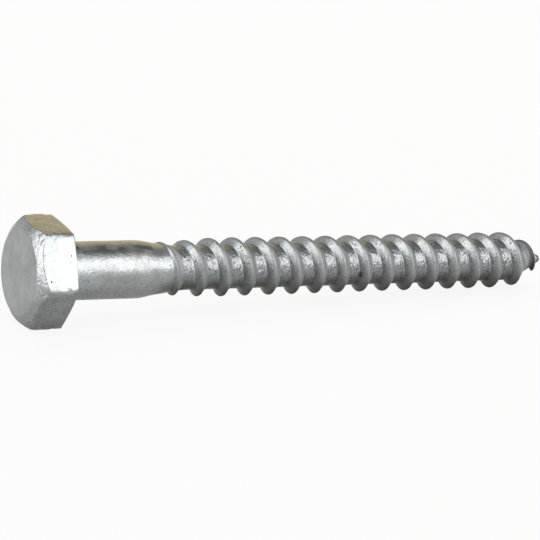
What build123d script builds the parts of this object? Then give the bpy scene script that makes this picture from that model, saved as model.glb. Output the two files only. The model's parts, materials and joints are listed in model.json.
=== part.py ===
from build123d import *
import os
from math import atan, ceil, cos, degrees, radians, sin, tan

# Coach screw: a forged hexagon head, a plain shank, a rolled neck and a coarse right-hand wood
# thread that runs out on a gimlet point. Millimetres.
#
# It is built along +X from the bearing face of the head, which is at x = 0, and is then laid on
# its side as it comes to rest: on one flat of the head and on the thread's crest by the point.

# Head
across_flats = 13.1
head_height = 5.3
head_corner_radius = 0.95
crown_diameter = 11.2
crown_chamfer_angle = 33.0
crown_edge_chamfer = 0.15
bearing_edge_chamfer = 0.2
under_head_chamfer = 0.25

# Stem, measured under the head
length = 75.4
shank_diameter = 7.6
shank_length = 11.3
neck_diameter = 6.7
neck_taper_length = 2.9
core_diameter = 5.84
core_taper_length = 4.2

# Gimlet point
point_length = 4.9
nib_diameter = 1.0
nib_length = 0.8
nib_chamfer = 0.2

# Thread. Its ridge is a triangle with both flanks leaning alike.
thread_diameter = 7.96
pitch = 3.6
thread_start = 13.4
run_in_length = 7.4
flank_angle = 36.0
point_crest_diameter = 3.2
point_crest_length = 4.6
run_out_length = 0.9
thread_nib_overlap = 0.2
end_angle = 59.0

# How far the ridge reaches below the surface of the stem, along its foot and at its two ends.
foot_depth = 0.25
end_depth = 0.08


def radius_along(stations, x):
    """Radius at x of a profile given by (x, radius) stations joined by straight lines."""
    for (x0, r0), (x1, r1) in zip(stations, stations[1:]):
        if x <= x1:
            return r0 + (r1 - r0) * max(x - x0, 0) / (x1 - x0)
    return stations[-1][1]


# Stations of the bare stem: shank, rolled neck, threaded core, cone and nib.
neck_end = shank_length + neck_taper_length
point_start = length - point_length
nib_start = length - nib_length
stem_stations = [
    (0, shank_diameter / 2),
    (shank_length, shank_diameter / 2),
    (neck_end, neck_diameter / 2),
    (neck_end + core_taper_length, core_diameter / 2),
    (point_start, core_diameter / 2),
    (nib_start, nib_diameter / 2),
    (length, nib_diameter / 2),
]

# Stations of the crest: it rises out of the neck, keeps the full diameter along the core, falls
# along the point and dives into the nib.
flank_reach = thread_diameter / 2 * tan(radians(flank_angle))
thread_end = nib_start + thread_nib_overlap
crest_fall = thread_end - point_crest_length
crest_stations = [
    (thread_start, radius_along(stem_stations, thread_start) - end_depth),
    (thread_start + run_in_length, thread_diameter / 2),
    (point_start - flank_reach, thread_diameter / 2),
    (crest_fall, thread_diameter / 2),
    (thread_end - run_out_length, point_crest_diameter / 2),
    (thread_end, nib_diameter / 2 - end_depth),
]


def make_head():
    """Hexagon with soft corners, cut by the cone of its crown."""
    hexagon = RegularPolygon(across_flats / 2, 6, major_radius=False)
    hexagon = fillet(hexagon.vertices(), head_corner_radius)
    blank = extrude(Plane.YZ * hexagon, amount=-head_height)
    crown_reach = crown_diameter / 2 + head_height / tan(radians(crown_chamfer_angle))
    crown = Polyline(
        (-head_height, 0),
        (-head_height, crown_diameter / 2),
        (0, crown_reach),
        (0, 0),
        close=True,
    )
    head = blank & revolve(make_face(crown), Axis.X)
    head = chamfer(head.faces().sort_by(Axis.X)[0].edges(), crown_edge_chamfer)
    return chamfer(head.faces().sort_by(Axis.X)[-1].edges(), bearing_edge_chamfer)


def make_stem():
    """The bare stem as one turned profile, with a chamfer under the head and one on the nib."""
    shank_radius, nib_radius = shank_diameter / 2, nib_diameter / 2
    profile = [
        (-head_height / 2, 0),
        (-head_height / 2, shank_radius + under_head_chamfer),
        (0, shank_radius + under_head_chamfer),
        (under_head_chamfer, shank_radius),
    ]
    profile += stem_stations[1:-1]
    profile += [(length - nib_chamfer, nib_radius), (length, nib_radius - nib_chamfer), (length, 0)]
    return revolve(make_face(Polyline(*profile, close=True)), Axis.X)


def plane_at(x, angle):
    """Plane across the axis at x, with its x axis pointing out at an angle from the underside."""
    outward = Vector(0, sin(radians(angle)), -cos(radians(angle)))
    return Plane(origin=(x, 0, 0), x_dir=outward, z_dir=(1, 0, 0))


def ridge_corners(x):
    """Corners (x, radius) of the ridge's section where its crest is at x.

    Its foot lies inside the stem, below the thinnest part of the stem that the ridge stands on.
    """
    lean = tan(radians(flank_angle))
    crest = radius_along(crest_stations, x)
    foot = radius_along(stem_stations, x + crest * lean) - foot_depth
    height = crest - foot
    return [(x - height * lean, foot), (x, crest), (x + height * lean, foot)]


def helix(start, finish, turns, angle):
    """Right-hand helix round the axis from one (x, radius) to another, on a cone if they differ."""
    (x0, r0), (x1, r1) = start, finish
    cone = atan((r1 - r0) / (x1 - x0))
    lead = (x1 - x0) / turns / cos(cone)
    return plane_at(x0, angle) * Edge.make_helix(lead, x1 - x0, r0, angle=degrees(cone))


def ridge_piece(x0, x1):
    """The ridge as a closed solid of ruled helical faces while its crest runs from x0 to x1."""
    starts, finishes = ridge_corners(x0), ridge_corners(x1)
    angles = [end_angle - 360 * (thread_end - x) / pitch for x in (x0, x1)]
    edges = [
        helix(start, finish, (x1 - x0) / pitch, angles[0])
        for start, finish in zip(starts, finishes)
    ]
    sides = [
        Face.make_surface_from_curves(edge, following)
        for edge, following in zip(edges, edges[1:] + edges[:1])
    ]
    ends = [
        Face(Wire.make_polygon([plane_at(x, angle).from_local_coords((r, 0, 0)) for x, r in corners]))
        for corners, angle in zip((starts, finishes), angles)
    ]
    return Solid(Shell(sides + ends))


def make_ridge():
    """The ridge of the thread from the neck to the nib, in pieces of one turn or less."""
    pieces = []
    for (x0, _), (x1, _) in zip(crest_stations, crest_stations[1:]):
        count = ceil((x1 - x0) / pitch)
        stops = [x0 + (x1 - x0) * step / count for step in range(count + 1)]
        pieces += [ridge_piece(start, finish) for start, finish in zip(stops, stops[1:])]
    return pieces


def lay_down(screw):
    """Turn the screw tip down about Y until the head's flat and the last full crest are level.

    The origin is then at the middle of the box round the screw, on the surface it lies on.
    """
    underside_start = (thread_end - pitch * end_angle / 360) % pitch
    touch = underside_start + pitch * ((crest_fall - underside_start) // pitch)
    tilt = degrees(atan((across_flats - thread_diameter) / 2 / touch))
    screw = Rotation(0, tilt, 0) * screw
    box = screw.bounding_box()
    return Pos(-box.center().X, -box.center().Y, -box.min.Z) * screw


coach_screw = lay_down(make_head() + make_stem() + make_ridge())

os.makedirs("parts", exist_ok=True)
export_step(coach_screw, "parts/coach_screw.step")
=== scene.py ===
import json
import math

import bmesh
import bpy
import numpy as np
from mathutils import Euler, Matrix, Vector


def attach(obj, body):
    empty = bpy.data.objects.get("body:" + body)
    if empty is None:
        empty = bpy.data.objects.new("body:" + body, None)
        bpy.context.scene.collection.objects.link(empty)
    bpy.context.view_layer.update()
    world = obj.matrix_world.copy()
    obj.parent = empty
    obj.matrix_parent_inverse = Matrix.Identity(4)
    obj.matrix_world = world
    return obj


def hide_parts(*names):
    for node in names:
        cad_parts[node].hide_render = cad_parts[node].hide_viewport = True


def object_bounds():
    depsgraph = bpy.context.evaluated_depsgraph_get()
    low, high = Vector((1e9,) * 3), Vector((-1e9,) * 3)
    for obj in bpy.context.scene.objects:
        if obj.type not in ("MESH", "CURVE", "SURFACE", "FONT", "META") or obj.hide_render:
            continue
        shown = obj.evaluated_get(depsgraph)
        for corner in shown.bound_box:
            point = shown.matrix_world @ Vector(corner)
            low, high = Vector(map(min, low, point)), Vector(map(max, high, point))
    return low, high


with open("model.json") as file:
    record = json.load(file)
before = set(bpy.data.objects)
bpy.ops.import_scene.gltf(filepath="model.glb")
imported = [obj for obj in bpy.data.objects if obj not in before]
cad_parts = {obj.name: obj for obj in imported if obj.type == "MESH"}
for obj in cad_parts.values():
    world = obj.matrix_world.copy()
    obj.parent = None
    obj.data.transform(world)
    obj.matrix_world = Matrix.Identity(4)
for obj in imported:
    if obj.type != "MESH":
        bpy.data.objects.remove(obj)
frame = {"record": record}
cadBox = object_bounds()
print("frame loaded")

mm = 0.001

# A hot-dip galvanised coach screw, lying on its side. Lengths are in millimetres in the
# screw's own frame: x along the axis from the bearing face to the point, angles round it
# from the underside, turning towards +y.
screw = {
    "sides": 6, "acrossFlats": 13.1, "headHeight": 5.3, "hexCornerRadius": 0.95,
    "crownRadius": 5.6, "crownAngle": 33.0,
    # How far the zinc rounds each edge of the head, and how much more at the corners.
    "crownSoftness": 0.2, "creaseSoftness": 0.1, "cornerSoftness": 0.12,
    "wornCornerTurn": 5 / 12, "wornCornerSoftness": 0.9,
    "bearingSoftness": 0.2, "bearingCornerSoftness": 0.25, "underHeadSoftness": 0.4,
    "cornerRise": 0.7,
    "shankRadius": 3.79, "shankEnd": 10.9, "neckRadius": 3.35, "neckEnd": 14.4,
    "coreBlendStart": 13.9, "coreStart": 17.4, "coreRadius": 2.91,
    "pointStart": 70.14, "nibStart": 75.15, "nibRadius": 0.48, "length": 75.4,
    "pitch": 3.6, "endAngle": 58.75, "threadEnd": 74.8,
    "ridgeStart": 8.3, "firstCrestRadius": 3.3, "fullCrestAt": 24.0, "crestRadius": 3.955,
    "crestFallAt": 69.7, "crestFallPower": 1.2, "pointCrestAt": 74.0, "pointCrestRadius": 1.75,
    "lastCrestRadius": 0.38,
    "headFlankAngle": 30.0, "tipFlankAngle": 41.0, "ridgeReach": 1.5,
    "crestRound": 0.42, "headRootRound": 0.06, "tipRootRound": 0.9,
    # Below this height the ridge's roundings shrink with it, down to the least share.
    "fullRoundHeight": 0.7, "leastRound": 0.02,
    # Where the ridge thins on the nib, and by what shares.
    "thinning": (72.0, 73.6), "thinCrest": 0.6, "thinFlank": 0.5, "thinRoot": 0.8,
    "shankMountX": 5.775,
    # The mesh: columns for each side of the head, rows along it, and how the rows of the
    # thread begin and close up.
    "columnsPerSide": 24, "cornerCrowding": 1.7, "headRows": (12, 7, 20, 8, 26),
    "edgeRows": 6, "nibRows": 6, "rowsStart": 8.0, "turnsPastEnd": 1,
    "squeezeStart": 72.2, "nibCap": 0.16,
}
# Where the rows of one pitch lie, either side of the crest: close on the crest, along the
# flanks and in the fillets, wider on the root.
threadRows = np.array([
    -1.8, -1.6, -1.4, -1.2, -1.02, -0.92, -0.87, -0.83, -0.77, -0.62, -0.46, -0.32, -0.2, -0.09,
    0.02, 0.12, 0.22, 0.36, 0.52, 0.68, 0.82, 0.94, 1.06, 1.2, 1.38, 1.58, 1.8])


def ramp(x, low, high):
    # Straight from 0 at low to 1 at high.
    return np.clip((x - low) / (high - low), 0, 1)


def smoothStep(x, low, high):
    # 3t^2 - 2t^3, with t going from 0 to 1 between low and high.
    t = ramp(x, low, high)
    return t * t * (3 - 2 * t)


def bell(x, width):
    # exp(-(x / width)^2)
    return np.exp(-(x / width)**2)


def valueNoise(points, size, seed):
    # Random numbers on a cubic lattice of the given cell size, blended smoothly between the
    # eight corners of each cell. Gives 0 to 1.
    cells, origin = 64, 31.7
    table = np.random.default_rng(seed).random((cells, cells, cells))
    scaled = points / size + origin
    cell = np.floor(scaled).astype(int)
    part = scaled - cell
    part = part * part * (3 - 2 * part)
    total = np.zeros(len(points))
    for corner in np.ndindex(2, 2, 2):
        weight = np.ones(len(points))
        for axis in range(3):
            weight *= part[:, axis] if corner[axis] else 1 - part[:, axis]
        i, j, k = ((cell + corner) % cells).T
        total += weight * table[i, j, k]
    return total


def hexRadius(angle):
    # Distance from the axis to a hexagon with rounded corners: the flat's apothem over the
    # cosine of the angle from its middle, and near a corner the far side of the corner's circle.
    apothem, rounding = screw["acrossFlats"] / 2, screw["hexCornerRadius"]
    halfSide = math.pi / screw["sides"]
    off = np.abs((angle + halfSide) % (2 * halfSide) - halfSide)
    centre = (apothem - rounding) / math.cos(halfSide)
    swing = halfSide - off
    circle = centre * np.cos(swing) + np.sqrt(
        np.maximum(rounding**2 - (centre * np.sin(swing))**2, 0))
    tangent = math.atan2((apothem - rounding) * math.tan(halfSide), apothem)
    return np.where(off > tangent, circle, apothem / np.cos(off))


def stemRadius(x):
    # Shank, rolled neck, threaded core, cone and nib, joined by smooth steps and by a straight
    # fall down the point.
    s = screw
    radius = s["shankRadius"] + (s["neckRadius"] - s["shankRadius"]) * smoothStep(
        x, s["shankEnd"], s["neckEnd"])
    radius = radius + (s["coreRadius"] - s["neckRadius"]) * smoothStep(
        x, s["coreBlendStart"], s["coreStart"])
    return radius + (s["nibRadius"] - s["coreRadius"]) * ramp(x, s["pointStart"], s["nibStart"])


def crestX(turn):
    # Axial place of the crest at a total angle in turns: the thread's end plus the pitch times
    # the turns past the end angle.
    return screw["threadEnd"] + screw["pitch"] * (turn - screw["endAngle"] / 360)


def crestRadius(x):
    # The crest rises out of the neck by a smooth step, stays level, falls along the point by a
    # power of the way and runs straight into the nib.
    s = screw
    rise = smoothStep(x, s["ridgeStart"], s["fullCrestAt"])
    radius = s["firstCrestRadius"] + (s["crestRadius"] - s["firstCrestRadius"]) * rise
    fall = ramp(x, s["crestFallAt"], s["pointCrestAt"])**s["crestFallPower"]
    radius = radius + (s["pointCrestRadius"] - s["crestRadius"]) * fall
    end = ramp(x, s["pointCrestAt"], s["threadEnd"])
    return radius + (s["lastCrestRadius"] - s["pointCrestRadius"]) * end


def sideDrop(distance, height, flankAngle, crestRound, rootRound):
    # Height of the ridge at a distance from its crest towards one side: an arc of crestRound,
    # a straight flank, an arc of rootRound and then nothing.
    small = np.clip(height / screw["fullRoundHeight"], screw["leastRound"], 1)
    top, foot = crestRound * small, rootRound * small
    lean = np.radians(flankAngle)
    leave = top * np.cos(lean)
    footX = leave + (height - top * (1 - np.sin(lean))) * np.tan(lean)
    reach = foot * np.tan((math.pi / 2 - lean) / 2)
    arc = height - top + np.sqrt(np.maximum(top**2 - distance**2, 0))
    flank = (footX - distance) / np.tan(lean)
    fillet = foot - np.sqrt(np.maximum(foot**2 - (distance - footX - reach)**2, 0))
    value = np.where(distance < leave, arc, flank)
    value = np.where(distance > footX - reach * np.sin(lean), fillet, value)
    return np.where(distance > footX + reach, 0, np.clip(value, 0, height))


def footPlace(height):
    # Distance from the crest to the foot of the head-side flank: the crest's arc, and then the
    # rest of the height times the tangent of the flank's angle.
    lean = math.radians(screw["headFlankAngle"])
    top = screw["crestRound"]
    return top * math.cos(lean) + (height - top * (1 - math.sin(lean))) * math.tan(lean)


def nearestCrest(x, turn):
    # Distance along the axis from the nearest pass of the crest.
    pitch = screw["pitch"]
    return (x - crestX(turn) + pitch / 2) % pitch - pitch / 2


def threadHeight(x, turn):
    # Height of the ridge over the stem, and that of its crest: the crest's radius at its
    # nearest pass less the stem's radius here.
    s = screw
    offset = nearestCrest(x, turn)
    crestPlace = x - offset
    height = np.maximum(crestRadius(crestPlace) - stemRadius(x), 0)
    inside = (crestPlace > s["ridgeStart"]) & (crestPlace < s["threadEnd"])
    height = np.where(inside, height, 0)
    thin = smoothStep(crestPlace, *s["thinning"])
    crestRound = s["crestRound"] * (1 - s["thinCrest"] * thin)
    ridge = np.where(
        offset < 0,
        sideDrop(-offset, height, s["headFlankAngle"], crestRound, s["headRootRound"]),
        sideDrop(offset, height, s["tipFlankAngle"] * (1 - s["thinFlank"] * thin), crestRound,
                 s["tipRootRound"] * (1 - s["thinRoot"] * thin)))
    # It has come down to the stem where the next turn takes over.
    return ridge * (1 - smoothStep(np.abs(offset), s["ridgeReach"], s["pitch"] / 2)), height


def toPoints(x, radius, turn):
    # (x, r sin a, -r cos a): the angle starts at the underside and turns towards +y.
    angle = 2 * math.pi * turn
    return np.stack([x + 0 * angle, radius * np.sin(angle), -radius * np.cos(angle)], -1)


def columnTurns():
    # One turn of columns. On each half side they lie at 1 - (1 - t)^crowding, which crowds them
    # towards the six corners of the head.
    count, sides = screw["columnsPerSide"] // 2, screw["sides"]
    half = np.arange(count + 1) / count
    swing = 1 - (1 - half)**screw["cornerCrowding"]
    side = np.concatenate([-swing[:0:-1], swing[:-1]]) / (2 * sides)
    turns = np.concatenate([side + k / sides for k in range(sides)])
    return np.append(turns, turns[0] + 1)


def softProfile(stations, softness, runRows, edgeRows):
    # A row of stations per column, joined by straight runs, with each inner corner replaced by
    # the curve (1 - t)^2 stop + 2t (1 - t) corner + t^2 leave. It meets the runs a softness
    # away from the corner, and at most the largest share of a run away.
    largestShare, leastRun = 0.45, 1e-9
    rows = []
    start = stations[0]
    for k in range(1, len(stations) - 1):
        here = stations[k]
        stop, leave = (
            here + run * np.minimum(softness[k - 1] / np.maximum(
                np.linalg.norm(run, axis=-1, keepdims=True), leastRun), largestShare)
            for run in (stations[k - 1] - here, stations[k + 1] - here))
        rows += [start + (stop - start) * t for t in np.arange(runRows[k - 1]) / runRows[k - 1]]
        rows += [(1 - t)**2 * stop + 2 * t * (1 - t) * here + t * t * leave
                 for t in np.arange(edgeRows) / edgeRows]
        start = leave
    rows += [start + (stations[-1] - start) * t for t in np.linspace(0, 1, runRows[-1] + 1)]
    return np.stack(rows)


def headAndShank(turns, shankStop):
    # Profile of each column from the middle of the end face over the crown, the cone, the flat
    # and the bearing face to the first row of the thread.
    s = screw
    radius = hexRadius(2 * math.pi * turns)
    crease = -s["headHeight"] + (radius - s["crownRadius"]) * math.tan(
        math.radians(s["crownAngle"]))

    def station(x, r):
        return np.stack([x + 0 * radius, r + 0 * radius], -1)

    # The zinc rounds the head's corners more than the middle of its flats, one corner most.
    corner = np.clip((radius - s["acrossFlats"] / 2) / s["cornerRise"], 0, 1)[:, None]
    worn = (np.abs(turns - s["wornCornerTurn"]) < 0.5 / s["sides"])[:, None]
    stations = [
        station(-s["headHeight"], 0), station(-s["headHeight"], s["crownRadius"]),
        station(crease, radius), station(0, radius),
        station(0, s["shankRadius"]), station(shankStop, s["shankRadius"])]
    softness = [
        s["crownSoftness"],
        s["creaseSoftness"] + corner * np.where(worn, s["wornCornerSoftness"],
                                                s["cornerSoftness"]),
        s["bearingSoftness"] + s["bearingCornerSoftness"] * corner, s["underHeadSoftness"]]
    rows = softProfile(stations, softness, s["headRows"], s["edgeRows"])
    return toPoints(rows[..., 0], rows[..., 1], turns[None])


def squeeze(x):
    # Past the start of the nib the rows close up towards its end: knee + room (1 - e^-t), with
    # t the distance past the knee over the room.
    knee = screw["squeezeStart"]
    room = screw["length"] - knee - screw["nibCap"]
    over = np.maximum(x - knee, 0)
    return np.where(x > knee, knee + room * (1 - np.exp(-over / room)), x)


def threadSurface(x, turn):
    # Points of the stem's radius plus the ridge's height, at the squeezed place.
    x = squeeze(x)
    return toPoints(x, stemRadius(x) + threadHeight(x, turn)[0], turn)


def buildPatches():
    # Rows follow the crest's helix. A fan opens them from one ring of the shank, sheared turns
    # carry them along the core, a second fan closes them on the nib, and a quarter of an
    # ellipse ends the nib on the axis.
    pitch = screw["pitch"]
    turns = columnTurns()
    along = turns[None]
    row = ((threadRows + pitch / 2) / pitch)[:, None]
    firstTurn = math.floor((screw["rowsStart"] - screw["threadEnd"]) / pitch)
    lastTurn = screw["turnsPastEnd"]

    def rowStart(turn):
        return crestX(turn) - pitch / 2  # half a pitch before the crest

    first, opened = rowStart(turns[0] + firstTurn), rowStart(along + firstTurn)
    last, closing = rowStart(turns[-1] + lastTurn), rowStart(along + lastTurn)
    patches = [threadSurface(first + (opened - first) * row, along)]
    for turn in range(firstTurn, lastTurn):
        patches.append(threadSurface(rowStart(along + turn) + pitch * row, along))
    patches.append(headAndShank(turns, first))
    patches.append(threadSurface(closing + (last - closing) * row, along))
    edge = squeeze(last)
    swing = np.linspace(0, math.pi / 2, screw["nibRows"])[:, None]
    patches.append(toPoints(edge + (screw["length"] - edge) * np.sin(swing),
                            stemRadius(edge) * np.cos(swing), along))
    print("profile worked out,", lastTurn - firstTurn, "turns of thread")
    return patches


def gridMesh(name, patches):
    # Each grid of points gives one quad per cell, and points that meet are welded.
    weldDistance, leastEdge = 2e-7, 1e-8  # metres
    points, faces, offset = [], [], 0
    for patch in patches:
        rows, columns = patch.shape[:2]
        index = np.arange(rows * columns).reshape(rows, columns) + offset
        faces.append(np.stack([index[:-1, :-1], index[1:, :-1], index[1:, 1:], index[:-1, 1:]],
                              -1).reshape(-1, 4))
        points.append(patch.reshape(-1, 3))
        offset += rows * columns
    mesh = bpy.data.meshes.new(name)
    mesh.from_pydata((np.concatenate(points) * mm).tolist(), [], np.concatenate(faces).tolist())
    work = bmesh.new()
    work.from_mesh(mesh)
    bmesh.ops.remove_doubles(work, verts=work.verts, dist=weldDistance)
    bmesh.ops.dissolve_degenerate(work, edges=work.edges, dist=leastEdge)
    bmesh.ops.recalc_face_normals(work, faces=work.faces)
    work.to_mesh(mesh)
    work.free()
    return mesh


def meshArray(collection, name):
    # One row of three for each item.
    values = np.zeros(len(collection) * 3)
    collection.foreach_get(name, values)
    return values.reshape(-1, 3)


seeds = {"broad": 3, "lumps": 8, "ragged": 21, "fine": 34, "nicks": 5}

# Where the zinc differs over the screw. A pair says where a change begins and ends, in
# millimetres, and a turn is the part of a circle from the underside.
coat = {
    "thread": (12.0, 16.0), "roots": (14.5, 16.5), "rootsEnd": (70.4, 71.4),
    "rootPastCrest": (0.85, 1.25), "rootBeforeCrest": (0.86, 1.2), "leastHeight": 0.2,
    "crestEnd": (70.8, 71.8), "crestEndShare": 0.8,
    # Crusty zinc on the cone, at the head's corners and on the side it ran down.
    "sideBefore": 0.2, "sideRadius": (6.3, 6.5), "cornerWidth": (0.3, 1.1),
    "coneBefore": -2.5, "coneRadius": (5.2, 5.7),
    "runTurn": -1 / 6, "brightTurn": -1 / 3, "cornerCrust": 0.8, "runCrust": 0.65,
    # Painted shade at the ridge's foot and in the corner under the head, dirt on the fin and the
    # nib, and along the crease round the crown.
    "footWidth": 0.07, "footHeight": (0.2, 0.6),
    "underHeadX": 0.15, "underHeadWidth": 0.25, "underHeadRadius": 4.4, "underHeadFrom": -0.1,
    "fin": (71.6, 72.3), "nib": (74.3, 74.7), "finDirt": 1.6,
    "creaseWidth": 0.09, "creaseBefore": -3.0, "creaseDirt": 0.5, "brightCreaseDirt": 1.1,
    "creaseGaps": (0.1, 0.4),
    "stainAt": (43.8, -2.95, -0.5), "stainSize": (0.35, 0.4, 0.6), "stainEdge": (0.5, 1.2),
    # Dark spots: few on the end face, more on the thread and where the zinc ran.
    "endFaceBefore": -4.9, "endFaceRadius": (5.0, 5.6), "endFaceSpots": 0.85,
    "threadSpots": 0.6, "runSpots": 0.6,
    # Dull zinc on the flank that faces the point and before the fin; painted shade on what faces
    # the ground and on the lower front flat, painted shade as dark spots along the top of the
    # shank, and a painted highlight on one flat.
    "dullFrom": (-0.25, 0.25), "dullTo": (1.0, 1.45),
    "finDullFrom": (71.0, 71.8), "finDullTo": (73.6, 74.1),
    "shadeBelowFacing": (-0.1, 0.75), "runShadeBelow": 0.18,
    "spottedShadeTurn": -0.44, "spottedShadeWidth": 0.04, "spottedShadeEnd": 12.5, "spottedShadeMm": 0.75,
    "spottedShadeDrawn": 0.6, "spottedShadeEdge": (0.42, 0.7),
    "flatHighlightWidth": (0.2, 0.8), "flatHighlightBelow": (0.1, 0.5),
    # Cells of the lumps, and how far each moves the surface.
    "broadMm": 3.2, "lumpMm": 0.75, "fineMm": 0.42, "raggedMm": 1.5, "nickMm": 0.5,
    "broadShift": 0.03, "rootLump": 0.07, "rootFine": 0.06, "crestRagged": 0.07,
    "crestLump": 0.03, "smoothLump": 0.012, "cornerNick": 0.09, "nickEdge": (0.45, 0.8),
}


def layZinc(own, normals):
    # Masks for the material, each a product of smooth steps and bells of the place, and how far
    # the zinc moves each point along its normal.
    c = coat
    x, radius = own[:, 0], np.hypot(own[:, 1], own[:, 2])
    turn = np.arctan2(own[:, 1], -own[:, 2]) / (2 * math.pi)
    ridge, height = threadHeight(x, turn)
    offset = nearestCrest(x, turn)
    onThread = smoothStep(x, *c["thread"])
    crest = np.clip(ridge / np.maximum(height, c["leastHeight"]), 0, 1)
    root = smoothStep(x, *c["roots"]) * (1 - smoothStep(x, *c["rootsEnd"])) * np.where(
        offset > 0, smoothStep(offset, *c["rootPastCrest"]),
        smoothStep(-offset, *c["rootBeforeCrest"]))
    broad, lumps, fine, ragged, nicks = (
        valueNoise(own, c[size], seeds[name])
        for name, size in (("broad", "broadMm"), ("lumps", "lumpMm"), ("fine", "fineMm"),
                           ("ragged", "raggedMm"), ("nicks", "nickMm")))

    side, halfSide = 2 * math.pi * turn, math.pi / screw["sides"]
    nearCorner = np.abs(side % (2 * halfSide) - halfSide) * radius
    onSide = (x < c["sideBefore"]) * smoothStep(radius, *c["sideRadius"])
    corner = onSide * (1 - smoothStep(nearCorner, *c["cornerWidth"]))
    cone = (x < c["coneBefore"]) * smoothStep(radius, *c["coneRadius"])
    runSide = onSide * (np.abs(turn - c["runTurn"]) < 0.5 / screw["sides"])
    brightSide = np.abs(turn - c["brightTurn"]) < 0.5 / screw["sides"]
    crust = np.clip(cone + c["cornerCrust"] * corner + c["runCrust"] * runSide, 0, 1)

    # Painted shade: a dark line in the crease at the foot of the ridge's head-side flank.
    footShade = (onThread * bell(offset + footPlace(height), c["footWidth"])
                 * smoothStep(height, *c["footHeight"]))
    # Painted shade: a dark ring in the corner under the head.
    underHeadShade = (bell(x - c["underHeadX"], c["underHeadWidth"])
                 * (radius < c["underHeadRadius"]) * (x > c["underHeadFrom"]))
    fin = c["finDirt"] * crest * smoothStep(x - offset, *c["fin"])
    nib = c["finDirt"] * smoothStep(x, *c["nib"])
    # The crease round the crown is where the cone's radius and the hexagon's are the same.
    coneRadius = screw["crownRadius"] + (x + screw["headHeight"]) / math.tan(
        math.radians(screw["crownAngle"]))
    away = np.hypot(radius - coneRadius, radius - hexRadius(side))
    crease = ((c["creaseDirt"] + c["brightCreaseDirt"] * brightSide)
              * bell(away, c["creaseWidth"]) * (x < c["creaseBefore"])
              * smoothStep(nicks, *c["creaseGaps"]))
    fromStain = np.linalg.norm((own - c["stainAt"]) / c["stainSize"], axis=1)

    spots = (1 - c["endFaceSpots"] * (x < c["endFaceBefore"])
             * (1 - smoothStep(radius, *c["endFaceRadius"]))
             + c["threadSpots"] * onThread + c["runSpots"] * runSide)
    dull = np.maximum(
        onThread * smoothStep(offset, *c["dullFrom"]) * (1 - smoothStep(offset, *c["dullTo"])),
        smoothStep(x, *c["finDullFrom"]) * (1 - smoothStep(x, *c["finDullTo"])))
    # Painted shade: darker on the thread where it faces the ground, and somewhat on the lower
    # front flat.
    shadeBelow = onThread * smoothStep(-normals[:, 2], *c["shadeBelowFacing"]) + c["runShadeBelow"] * runSide
    # Painted shade: a narrow band of dark spots along the top of the shank.
    fromSpottedShade = (turn - c["spottedShadeTurn"] + 0.5) % 1 - 0.5
    spottedShade = (bell(fromSpottedShade, c["spottedShadeWidth"]) * (x > 0) * (x < c["spottedShadeEnd"])
              * smoothStep(valueNoise(own * [c["spottedShadeDrawn"], 1, 1], c["spottedShadeMm"],
                                      seeds["ragged"]), *c["spottedShadeEdge"]))
    # Painted highlight: the upper front flat made paler, away from its corners and the bearing
    # edge.
    flatHighlight = (brightSide * onSide * smoothStep(nearCorner, *c["flatHighlightWidth"])
             * smoothStep(-x, *c["flatHighlightBelow"]))

    shift = (root * (c["rootLump"] * (lumps - 0.5) + c["rootFine"] * (fine - 0.5))
             - c["broadShift"] * broad
             - onThread * crest * (c["crestRagged"] * ragged + c["crestLump"] * lumps)
             - (1 - onThread) * c["smoothLump"] * lumps
             - corner * c["cornerNick"] * smoothStep(nicks, *c["nickEdge"]))
    masks = {
        "crest": crest * onThread * (1 - c["crestEndShare"] * smoothStep(x, *c["crestEnd"])),
        "root": root, "crust": crust,
        "seamsOfDirtAndShade": np.maximum.reduce([footShade, underHeadShade, fin, nib, crease]),
        "stain": 1 - smoothStep(fromStain, *c["stainEdge"]), "spots": spots, "dull": dull,
        "shadeBelow": shadeBelow, "spottedShade": spottedShade, "flatHighlight": flatHighlight}
    return masks, shift


def placeScrew(own):
    # Own frame to the row's frame: the axis and a point on it come from the shank's mount.
    # Nothing stands out of the CAD's box.
    margin = 1e-7  # metres
    mount = next(m for m in frame["record"]["mounts"] if m["name"] == "shank")
    along = Vector(mount["axis"]).normalized()
    across = Vector((0, 1, 0))
    turnIt = np.array([along, across, along.cross(across)])
    bearing = np.array(mount["pos_m"]) - np.array(along) * screw["shankMountX"] * mm
    low, high = (np.array(v) for v in cadBox)
    return np.clip(bearing + own * mm @ turnIt, low + margin, high - margin)


def buildScrew():
    # The welded surface, moved by the zinc and laid in its place, with a value for each mask on
    # each point.
    mesh = gridMesh("galvanisedScrew", buildPatches())
    own = meshArray(mesh.vertices, "co") / mm
    normals = meshArray(mesh.vertex_normals, "vector")
    masks, shift = layZinc(own, normals)
    mesh.vertices.foreach_set("co", placeScrew(own + normals * shift[:, None]).ravel())
    for name, values in masks.items():
        layer = mesh.attributes.new(name, "FLOAT", "POINT")
        layer.data.foreach_set("value", values.astype(np.float32))
    mesh.polygons.foreach_set("use_smooth", np.ones(len(mesh.polygons), bool))
    mesh.update()
    piece = bpy.data.objects.new("galvanisedScrew", mesh)
    bpy.context.scene.collection.objects.link(piece)
    triangles = sum(len(p.vertices) - 2 for p in mesh.polygons)
    print("screw built,", triangles, "triangles")
    return piece


def linear(code):
    # sRGB hex to linear red, green, blue and alpha.
    parts = [int(code[i:i + 2], 16) / 255 for i in (1, 3, 5)]
    return [v / 12.92 if v <= 0.04045 else ((v + 0.055) / 1.055)**2.4 for v in parts] + [1]


def addNode(tree, kind, inputs, out=0, **settings):
    # One node with its settings, its plain input values and links, giving the output asked for.
    node = tree.nodes.new(kind)
    for name, value in settings.items():
        setattr(node, name, value)
    for key, value in inputs.items():
        if isinstance(value, bpy.types.NodeSocket):
            tree.links.new(value, node.inputs[key])
        else:
            node.inputs[key].default_value = value
    return node.outputs[out] if len(node.outputs) else None


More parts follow.
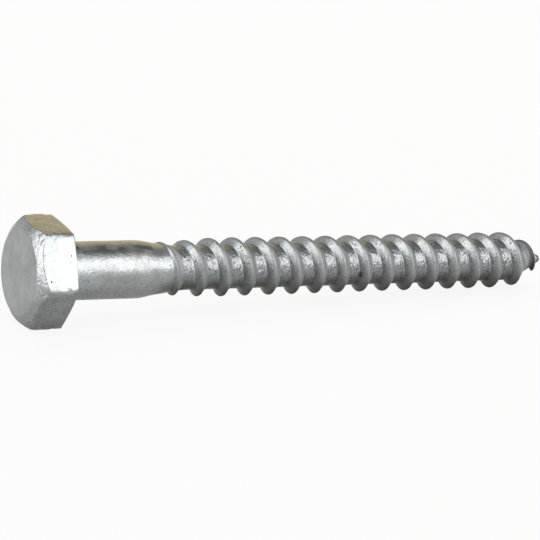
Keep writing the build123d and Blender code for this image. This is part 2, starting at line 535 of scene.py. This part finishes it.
# Colours, sizes of the patterns and heights of the relief in millimetres, shares and
# roughness. Clouds, lumps, crust, beads and pits have the sizes that they have in thick zinc.
# Real grain is too fine to show, so it is drawn about three times as coarse. A pair is the
# part of a pattern's range that counts.
zinc = {
    # Among the colours are painted shade for what faces the ground and for the spots along the
    # shank's top, a painted highlight for one flat, and one dark tone for dirt and painted shade.
    "pale": "#abafb0", "dull": "#9c9f9e", "rootTone": "#95989a", "crestTone": "#9a9c9c",
    "speck": "#7b7e7f", "darkToneForDirtAndShade": "#444543", "shadeBelow": "#4a4841", "spottedShade": "#565a5a",
    "flatHighlight": "#ccd0d1",
    "cloudMm": 2.2, "lumpMm": 0.8, "grainMm": 0.26, "crustMm": 0.34, "dropMm": 0.3, "pitMm": 0.8,
    "drawn": 0.6, "noiseRoughness": 0.55, "streakRoughness": 0.6, "dropSmoothness": 0.35,
    "cloudRange": (0.35, 0.65), "lumpRange": (0.35, 0.65), "speckRange": (0.52, 0.7),
    "pitRange": (0.06, 0.17), "pitClouds": (0.54, 0.62),
    "speckShare": 0.6, "shadeBelowShare": 0.9, "spottedShadeShare": 0.75, "flatHighlightShare": 0.3,
    "seamsOfDirtAndShadeShare": 0.45,
    "lumpRelief": 0.042, "grainRelief": 0.022, "crustRelief": 0.09, "streakRelief": 0.063,
    "crestRelief": 0.0585, "dropRelief": 0.08, "pitRelief": 0.05, "middle": 0.45,
    "smooth": 0.22, "rough": 0.34, "crestRoughness": 0.4, "rootRoughness": 0.24,
    "dullRoughness": 0.72,
}


def hotDipZinc():
    # Hot-dip galvanised steel: a thick zinc coat frozen from the melt, so it is a soft grey
    # metal with cloudy tone and gentle lumps, crusty where it ran off the cone and the corners,
    # beaded in the roots of the thread, with dirt and painted shade in the creases, a scatter of
    # dark pits, painted shade underneath and a painted highlight on one flat.
    z = zinc
    material = bpy.data.materials.new("hotDipGalvanisedZinc")
    material.use_nodes = True
    tree = material.node_tree
    tree.nodes.clear()
    place = addNode(tree, "ShaderNodeTexCoord", {}, "Object")
    # Round the thread every pattern is drawn out, as the zinc ran.
    drawn = addNode(tree, "ShaderNodeMapping",
                    {"Vector": place, "Scale": (1.0, z["drawn"], z["drawn"])})
    mask = {name: addNode(tree, "ShaderNodeAttribute", {}, "Fac", attribute_name=name)
            for name in ("crest", "root", "crust", "seamsOfDirtAndShade", "stain", "spots", "dull", "shadeBelow",
                         "spottedShade", "flatHighlight")}
    cloud, lump, grain, rough, streak = (
        addNode(tree, "ShaderNodeTexNoise", {
            "Vector": where, "Scale": 1 / (z[size] * mm), "Detail": detail,
            "Roughness": z[roughness]}, "Fac")
        for where, size, detail, roughness in (
            (place, "cloudMm", 3.0, "noiseRoughness"), (place, "lumpMm", 2.0, "noiseRoughness"),
            (place, "grainMm", 2.0, "noiseRoughness"), (place, "crustMm", 4.0, "noiseRoughness"),
            (drawn, "crustMm", 4.0, "streakRoughness")))
    drops = addNode(tree, "ShaderNodeTexVoronoi", {
        "Vector": drawn, "Scale": 1 / (z["dropMm"] * mm), "Smoothness": z["dropSmoothness"]},
        "Distance", feature="SMOOTH_F1")
    pits = addNode(tree, "ShaderNodeTexVoronoi", {
        "Vector": place, "Scale": 1 / (z["pitMm"] * mm)}, "Distance")

    # Pits: the middles of some cells, only where the clouds are thick.
    pit = addNode(tree, "ShaderNodeMapRange", {
        "Value": pits, "From Min": z["pitRange"][0], "From Max": z["pitRange"][1],
        "To Min": 1.0, "To Max": 0.0})
    some = addNode(tree, "ShaderNodeMapRange", {
        "Value": cloud, "From Min": z["pitClouds"][0], "From Max": z["pitClouds"][1]})
    pit = addNode(tree, "ShaderNodeMath", {0: pit, 1: some}, operation="MULTIPLY")
    pit = addNode(tree, "ShaderNodeMath", {0: pit, 1: mask["spots"]}, operation="MULTIPLY")

    # Colour: clouds of two greys, duller in the roots and on the ridge, then specks, painted shade
    # on what faces the ground and in spots along the shank's top, a painted highlight on one flat,
    # then painted shade at the ridge's foot and under the head, and dirt along the crown's crease,
    # in the pits and the stain.
    clouds = addNode(tree, "ShaderNodeMapRange", {
        "Value": cloud, "From Min": z["cloudRange"][0], "From Max": z["cloudRange"][1]})
    specks = addNode(tree, "ShaderNodeMapRange", {
        "Value": rough, "From Min": z["speckRange"][0], "From Max": z["speckRange"][1],
        "To Max": z["speckShare"]})
    tone = addNode(tree, "ShaderNodeMix", {0: clouds, 6: linear(z["dull"]), 7: linear(z["pale"])},
                   2, data_type="RGBA")
    for part in ("crest", "root"):
        tone = addNode(tree, "ShaderNodeMix",
                       {0: mask[part], 6: tone, 7: linear(z[part + "Tone"])},
                       2, data_type="RGBA")
    # Specks, then painted shade below and along the shank's top, and a painted highlight on one
    # flat.
    for part, share, colour in (
            ("spots", specks, "speck"), ("shadeBelow", z["shadeBelowShare"], "shadeBelow"),
            ("spottedShade", z["spottedShadeShare"], "spottedShade"), ("flatHighlight", z["flatHighlightShare"], "flatHighlight")):
        share = addNode(tree, "ShaderNodeMath", {0: mask[part], 1: share}, operation="MULTIPLY")
        tone = addNode(tree, "ShaderNodeMix", {0: share, 6: tone, 7: linear(z[colour])},
                       2, data_type="RGBA")
    # Dirt and painted shade: the dark tone goes on the seams, which are painted shade at the
    # ridge's foot and under the head and dirt elsewhere, and on the pits and the stain.
    darkeningByDirtAndShade = addNode(tree, "ShaderNodeMath", {0: mask["seamsOfDirtAndShade"], 1: z["seamsOfDirtAndShadeShare"]},
                    operation="MULTIPLY")
    darkeningByDirtAndShade = addNode(tree, "ShaderNodeMath", {0: darkeningByDirtAndShade, 1: pit}, operation="MAXIMUM")
    darkeningByDirtAndShade = addNode(tree, "ShaderNodeMath", {0: darkeningByDirtAndShade, 1: mask["stain"]}, operation="MAXIMUM")
    tone = addNode(tree, "ShaderNodeMix", {0: darkeningByDirtAndShade, 6: tone, 7: linear(z["darkToneForDirtAndShade"])},
                   2, data_type="RGBA")

    # Roughness: patches of shinier and duller zinc.
    roughness = addNode(tree, "ShaderNodeMapRange", {
        "Value": lump, "From Min": z["lumpRange"][0], "From Max": z["lumpRange"][1],
        "To Min": z["smooth"], "To Max": z["rough"]})
    for part in ("crest", "root", "dull"):
        roughness = addNode(tree, "ShaderNodeMix",
                            {0: mask[part], 2: roughness, 3: z[part + "Roughness"]})

    # Relief in millimetres: lumps and grain everywhere, crust and beads where they belong, each
    # about its own middle.
    relief = addNode(tree, "ShaderNodeMath", {0: lump, 1: z["lumpRelief"]}, operation="MULTIPLY")
    for pattern, amount, part in (
            (grain, z["grainRelief"], 1.0), (rough, z["crustRelief"], mask["crust"]),
            (streak, z["streakRelief"], mask["root"]), (rough, z["crestRelief"], mask["crest"]),
            (drops, -z["dropRelief"], mask["root"]), (pit, -z["pitRelief"], 1.0)):
        height = addNode(tree, "ShaderNodeMath", {0: pattern, 1: amount, 2: -z["middle"] * amount},
                         operation="MULTIPLY_ADD")
        relief = addNode(tree, "ShaderNodeMath", {0: height, 1: part, 2: relief},
                         operation="MULTIPLY_ADD")
    bump = addNode(tree, "ShaderNodeBump", {"Height": relief, "Strength": 1.0, "Distance": mm})
    shader = addNode(tree, "ShaderNodeBsdfPrincipled", {
        "Base Color": tone, "Metallic": 1.0, "Roughness": roughness, "Normal": bump})
    addNode(tree, "ShaderNodeOutputMaterial", {"Surface": shader})
    return material


# The studio. A lamp is its name, azimuth from -Y towards +X, elevation, width and height in
# metres, radiance and colour. The floor's drop and the camera are in millimetres.
studio = {
    "floorSize": 6.0, "floorDrop": 0.02,
    "floorColour": "#f6f6f5", "floorGlow": 0.9, "floorGlowInMetal": 0.25,
    "worldColour": "#ffffff", "worldStrength": 0.4, "lampDistance": 0.7,
    "screwLamps": (
        ("keySoftBox", 36, 35, (0.7, 0.52), 2.25, "#ffffff"),
        ("leftSoftBox", -92, 30, (0.6, 0.8), 2.6, "#ffffff"),
        ("leftLowCard", -92, 6, (0.7, 0.14), 0.9, "#ffffff"),
        ("frontLeftFill", -22, 33, (0.6, 0.5), 0.8, "#ffffff"),
        ("frontCard", 20, 5, (0.9, 0.15), 0.7, "#ffffff"),
        ("rightCard", 80, 12, (0.6, 0.45), 1.5, "#ffffff")),
    "roomLamps": (
        ("topSoftBox", -15, 70, (0.9, 0.5), 0.8, "#ffffff"),
        ("backCard", -155, 22, (0.45, 0.5), 0.35, "#ffffff"),
        ("warmCard", 152, 17, (0.5, 0.5), 0.5, "#ffdc68")),
    "floorLamp": ("floorSoftBox", 160, 55, (0.6, 0.6), 1.6, "#ffffff"),
    "sensor": 36, "lens": 154.088, "clipStart": 10.0,
    "cameraAt": (-152.675, -249.097, 111.595), "cameraTurn": (69.6126, -7.2936, -28.1870),
}


def floorMaterial():
    # Matt white paper. For the camera and in reflections a share of it is plain white, so it
    # shows as a white background and still holds the screw's shadow.
    material = bpy.data.materials.new("whitePaper")
    material.use_nodes = True
    tree = material.node_tree
    tree.nodes.clear()
    camera, glossy, through = (
        addNode(tree, "ShaderNodeLightPath", {}, name)
        for name in ("Is Camera Ray", "Is Glossy Ray", "Is Transmission Ray"))
    mirrored = addNode(tree, "ShaderNodeMath", {0: glossy, 1: through}, operation="ADD",
                       use_clamp=True)
    mirrored = addNode(tree, "ShaderNodeMath", {0: mirrored, 1: studio["floorGlowInMetal"]},
                       operation="MULTIPLY")
    share = addNode(tree, "ShaderNodeMath", {0: camera, 1: studio["floorGlow"], 2: mirrored},
                    operation="MULTIPLY_ADD")
    paper = addNode(tree, "ShaderNodeBsdfDiffuse", {"Color": linear(studio["floorColour"])})
    white = addNode(tree, "ShaderNodeEmission", {"Color": linear("#ffffff"), "Strength": 1.0})
    both = addNode(tree, "ShaderNodeMixShader", {0: share, 1: paper, 2: white})
    addNode(tree, "ShaderNodeOutputMaterial", {"Surface": both})
    return material


def direction(azimuth, elevation):
    # (sin a cos e, -cos a cos e, sin e), the unit vector towards a lamp.
    a, e = math.radians(azimuth), math.radians(elevation)
    return Vector((math.sin(a) * math.cos(e), -math.cos(a) * math.cos(e), math.sin(e)))


def areaLamp(name, azimuth, elevation, size, radiance, colour, lit=None):
    # A soft box that faces the screw. A one-sided square of area A with radiance L has the
    # power pi A L.
    lamp = bpy.data.lights.new(name, "AREA")
    lamp.shape = "RECTANGLE"
    lamp.size, lamp.size_y = size
    lamp.energy = math.pi * size[0] * size[1] * radiance
    lamp.color = linear(colour)[:3]
    thing = bpy.data.objects.new(name, lamp)
    way = direction(azimuth, elevation)
    thing.location = way * studio["lampDistance"]
    thing.rotation_euler = way.to_track_quat("Z", "Y").to_euler()
    thing.visible_camera = False
    bpy.context.scene.collection.objects.link(thing)
    if lit:
        thing.light_linking.receiver_collection = bpy.data.collections.new(name)
        thing.light_linking.receiver_collection.objects.link(lit)
    return thing


def buildStudio(piece):
    # A white floor just under the screw, a white world, the soft boxes and the camera.
    half = studio["floorSize"] / 2
    mesh = bpy.data.meshes.new("floor")
    mesh.from_pydata([(-half, -half, 0), (half, -half, 0), (half, half, 0), (-half, half, 0)],
                     [], [(0, 1, 2, 3)])
    mesh.materials.append(floorMaterial())
    floor = bpy.data.objects.new("floor", mesh)
    floor.location.z = -studio["floorDrop"] * mm
    bpy.context.scene.collection.objects.link(floor)

    world = bpy.data.worlds.new("studioWorld")
    bpy.context.scene.world = world
    world.use_nodes = True
    background = world.node_tree.nodes["Background"]
    background.inputs["Color"].default_value = linear(studio["worldColour"])
    background.inputs["Strength"].default_value = studio["worldStrength"]

    # The soft boxes on the camera's side light the screw alone, so its shadow stays soft. The
    # one for the floor isn't mirrored in the zinc.
    for lamp in studio["screwLamps"]:
        areaLamp(*lamp, lit=piece)
    for lamp in studio["roomLamps"]:
        areaLamp(*lamp)
    areaLamp(*studio["floorLamp"]).visible_glossy = False

    camera = bpy.data.cameras.new("camera")
    camera.sensor_width = studio["sensor"]
    camera.lens = studio["lens"]
    camera.clip_start = studio["clipStart"] * mm
    viewer = bpy.data.objects.new("camera", camera)
    viewer.location = Vector(studio["cameraAt"]) * mm
    viewer.rotation_euler = Euler([math.radians(v) for v in studio["cameraTurn"]], "XYZ")
    bpy.context.scene.collection.objects.link(viewer)
    bpy.context.scene.camera = viewer
    bpy.context.scene.view_settings.view_transform = "Standard"
    print("studio built")


piece = buildScrew()
piece.data.materials.append(hotDipZinc())
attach(piece, "root")
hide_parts("coach_screw")
print("zinc laid on")
buildStudio(piece)
